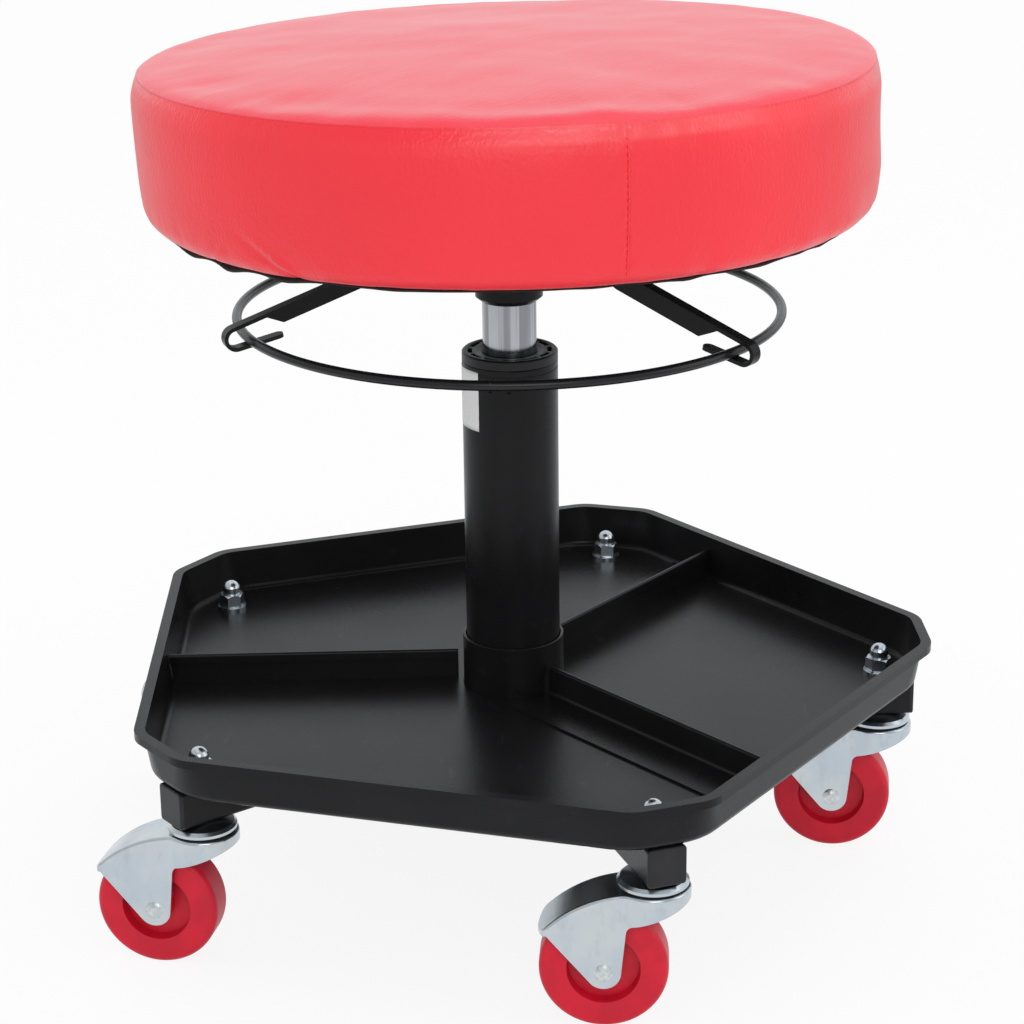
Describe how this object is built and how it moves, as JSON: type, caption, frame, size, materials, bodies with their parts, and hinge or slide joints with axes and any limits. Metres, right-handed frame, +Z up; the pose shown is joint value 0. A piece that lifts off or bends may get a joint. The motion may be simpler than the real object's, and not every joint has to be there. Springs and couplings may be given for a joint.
{
  "type": "creeper seat",
  "caption": "Low rolling work stool: round padded seat on a ring-released gas lift, over a divided tool tray on legs with swivel casters.",
  "frame": {"origin": "on the column axis at floor level", "axes": "+Z up along the column; +X along leg 1, the leg without a divider beside it; seat at its lowest"},
  "size_m": [0.4387, 0.435, 0.4482],
  "materials": {
    "red_vinyl": "soft satin, fine grain",
    "black_cloth": "matt non-woven cloth",
    "foam": "matt open-cell foam",
    "plywood": "raw",
    "black_paint": "satin powder coat",
    "black_rod": "semi-gloss paint",
    "black_plastic": "satin moulded",
    "black_rubber": "matt",
    "bright_steel": "polished",
    "ground_steel": "ground",
    "zinc": "bright zinc plate",
    "brass": "turned",
    "red_wheel": "satin cast polyurethane"
  },
  "bodies": {
    "base": {"hub_collar": "black_paint", "column_tube": "black_paint", "guide_bush": "black_plastic", "column_foot": "black_paint", "thrust_bearing": "ground_steel", "tray": "black_paint", "divider_left": "black_paint", "divider_rear": "black_paint", "divider_front": "black_paint", "cap_nuts": "zinc", "nut_washers": "zinc", "end_caps": "black_plastic", "leg_1": "black_paint", "leg_2": "black_paint", "leg_3": "black_paint", "leg_4": "black_paint", "leg_5": "black_paint", "caster_stem_1": "zinc", "caster_stem_2": "zinc", "caster_stem_3": "zinc", "caster_stem_4": "zinc", "caster_stem_5": "zinc"},
    "rod": {"piston_rod": "ground_steel", "piston": "black_plastic", "rod_clip": "ground_steel"},
    "seat": {"gas_cylinder": "bright_steel", "seat_mount": "black_paint", "mount_bolts": "zinc", "seat_board": "plywood", "seat_foam": "foam", "seat_cover": "red_vinyl", "under_cover": "black_cloth"},
    "release": {"release_spider": "black_paint", "release_ring": "black_rod"},
    "valve": {"valve_button": "brass"},
    "caster_1": {"caster_fork_1": "zinc", "race_seal_1": "black_rubber", "axle_rivet_1": "zinc", "wheel_bush_1": "black_plastic"},
    "wheel_1": {"wheel_1": "red_wheel"},
    "caster_2": {"caster_fork_2": "zinc", "race_seal_2": "black_rubber", "axle_rivet_2": "zinc", "wheel_bush_2": "black_plastic"},
    "wheel_2": {"wheel_2": "red_wheel"},
    "caster_3": {"caster_fork_3": "zinc", "race_seal_3": "black_rubber", "axle_rivet_3": "zinc", "wheel_bush_3": "black_plastic"},
    "wheel_3": {"wheel_3": "red_wheel"},
    "caster_4": {"caster_fork_4": "zinc", "race_seal_4": "black_rubber", "axle_rivet_4": "zinc", "wheel_bush_4": "black_plastic"},
    "wheel_4": {"wheel_4": "red_wheel"},
    "caster_5": {"caster_fork_5": "zinc", "race_seal_5": "black_rubber", "axle_rivet_5": "zinc", "wheel_bush_5": "black_plastic"},
    "wheel_5": {"wheel_5": "red_wheel"}
  },
  "joints": [
    {"name": "seat_swivel", "type": "hinge", "parent": "base", "child": "rod", "pos_m": [0, 0, 0.0875], "axis": [0, 0, 1], "continuous": true},
    {"name": "seat_lift", "type": "slide", "parent": "rod", "child": "seat", "axis": [0, 0, 1], "range_m": [0, 0.12]},
    {"name": "ring_release", "type": "hinge", "parent": "seat", "child": "release", "pos_m": [-0.04417, -0.01607, 0.3483], "axis": [-0.342, 0.9397, 0], "range_deg": [0, 3.5], "stiffness_Nm_per_rad": 30, "springref_deg": -3.44},
    {"name": "valve_press", "type": "slide", "parent": "seat", "child": "valve", "axis": [0, 0, -1], "range_m": [0, 0.003]},
    {"name": "caster_swivel_1", "type": "hinge", "parent": "base", "child": "caster_1", "pos_m": [0.198, 0, 0.0735], "axis": [0, 0, 1], "continuous": true},
    {"name": "wheel_spin_1", "type": "hinge", "parent": "caster_1", "child": "wheel_1", "pos_m": [0.17479, 0.00368, 0.0315], "axis": [-0.1564, -0.9877, 0], "continuous": true},
    {"name": "caster_swivel_2", "type": "hinge", "parent": "base", "child": "caster_2", "pos_m": [0.06119, 0.18831, 0.0735], "axis": [0, 0, 1], "continuous": true},
    {"name": "wheel_spin_2", "type": "hinge", "parent": "caster_2", "child": "wheel_2", "pos_m": [0.03804, 0.19239, 0.0315], "axis": [-0.1736, -0.9848, 0], "continuous": true},
    {"name": "caster_swivel_3", "type": "hinge", "parent": "base", "child": "caster_3", "pos_m": [-0.16018, 0.11638, 0.0735], "axis": [0, 0, 1], "continuous": true},
    {"name": "wheel_spin_3", "type": "hinge", "parent": "caster_3", "child": "wheel_3", "pos_m": [-0.18346, 0.11311, 0.0315], "axis": [0.1392, -0.9903, 0], "continuous": true},
    {"name": "caster_swivel_4", "type": "hinge", "parent": "base", "child": "caster_4", "pos_m": [-0.16018, -0.11638, 0.0735], "axis": [0, 0, 1], "continuous": true},
    {"name": "wheel_spin_4", "type": "hinge", "parent": "caster_4", "child": "wheel_4", "pos_m": [-0.18308, -0.11109, 0.0315], "axis": [-0.225, -0.9744, 0], "continuous": true},
    {"name": "caster_swivel_5", "type": "hinge", "parent": "base", "child": "caster_5", "pos_m": [0.06119, -0.18831, 0.0735], "axis": [0, 0, 1], "continuous": true},
    {"name": "wheel_spin_5", "type": "hinge", "parent": "caster_5", "child": "wheel_5", "pos_m": [0.03778, -0.18626, 0.0315], "axis": [-0.0872, -0.9962, 0], "continuous": true}
  ],
  "couplings": [
    {"joint": "valve_press", "follows": "ring_release", "m_per_rad": 0.048}
  ]
}
